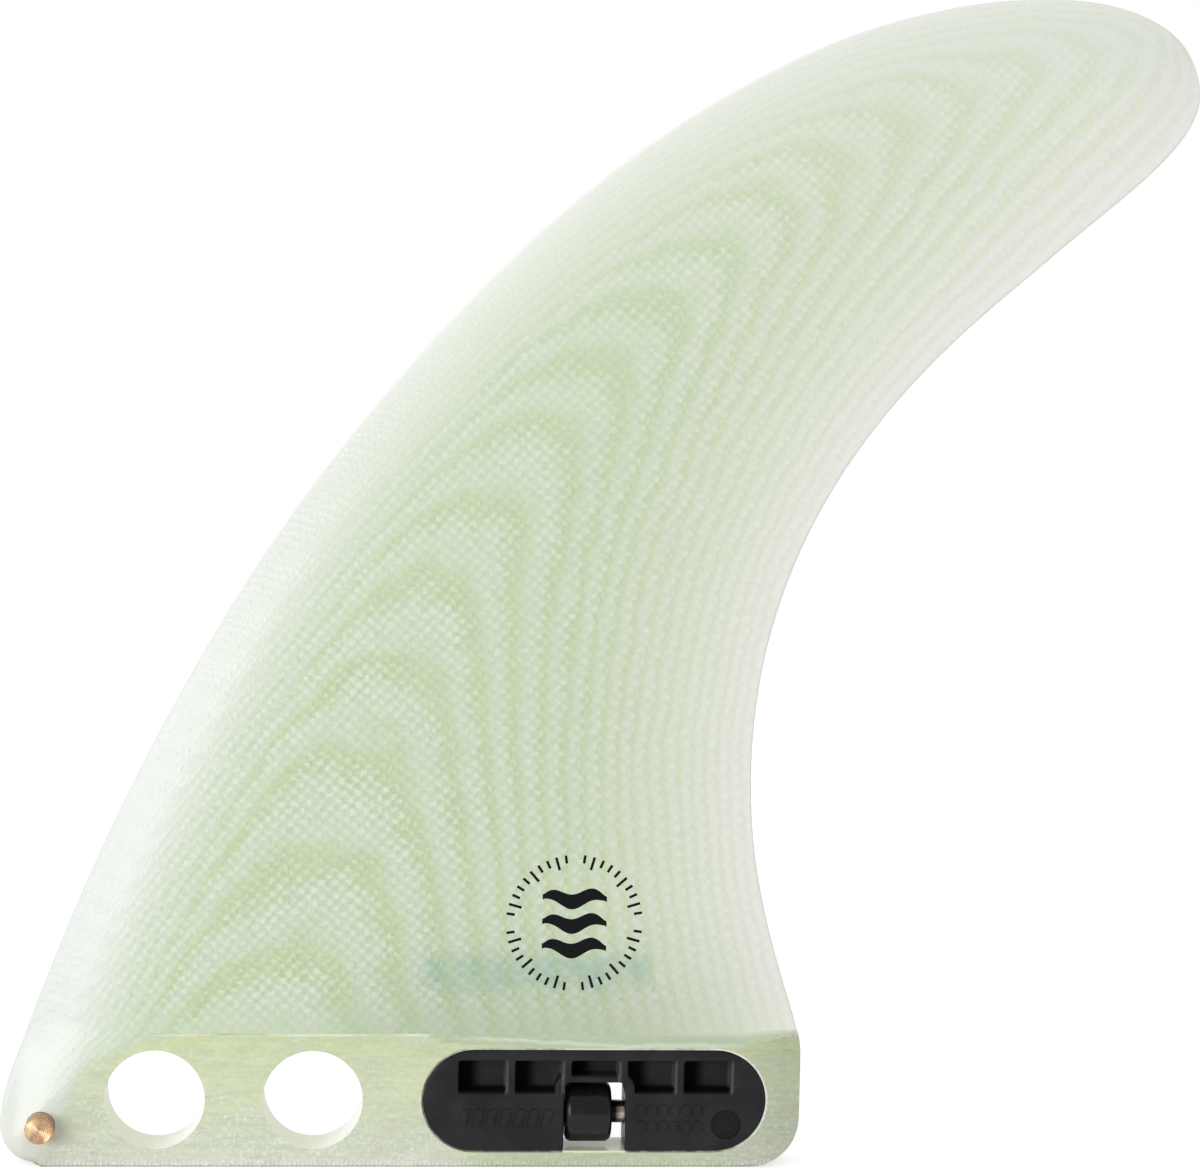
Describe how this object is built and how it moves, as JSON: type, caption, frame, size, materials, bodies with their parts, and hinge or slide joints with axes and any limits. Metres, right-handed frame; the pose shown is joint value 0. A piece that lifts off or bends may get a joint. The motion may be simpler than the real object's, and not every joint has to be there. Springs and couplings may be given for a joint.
{
  "type": "surfboard fin",
  "caption": "Single centre surfboard fin: a raked, foiled fibreglass blade on a flat box tab with a cross pin at its front corner and a roller on an axle in a moulded cassette.",
  "frame": {"origin": "middle of the tab's flat foot, half-way along its length and half-way through its thickness", "axes": "+X to the fin's rear, where the tip leans; +Y across the fin's thickness; +Z from the tab's foot up to the tip"},
  "size_m": [0.2042, 0.016, 0.203],
  "materials": {
    "laminate": "sanded and gloss-coated fibreglass laminate, pale translucent green",
    "pin": "turned",
    "cassette": "moulded black glass-filled nylon, fine texture",
    "axle": "polished",
    "barrel": "smooth moulded black"
  },
  "bodies": {
    "fin_body": {"fin": "laminate", "front_pin": "pin", "cassette": "cassette"},
    "axle": {"barrel_axle": "axle"},
    "roller": {"barrel": "barrel"}
  },
  "joints": [
    {"name": "barrel_turn", "type": "hinge", "parent": "fin_body", "child": "axle", "pos_m": [0.0333, 0, 0.0088], "axis": [1, 0, 0], "continuous": true},
    {"name": "barrel_slide", "type": "slide", "parent": "axle", "child": "roller", "axis": [1, 0, 0], "range_m": [0, 0.002]}
  ]
}
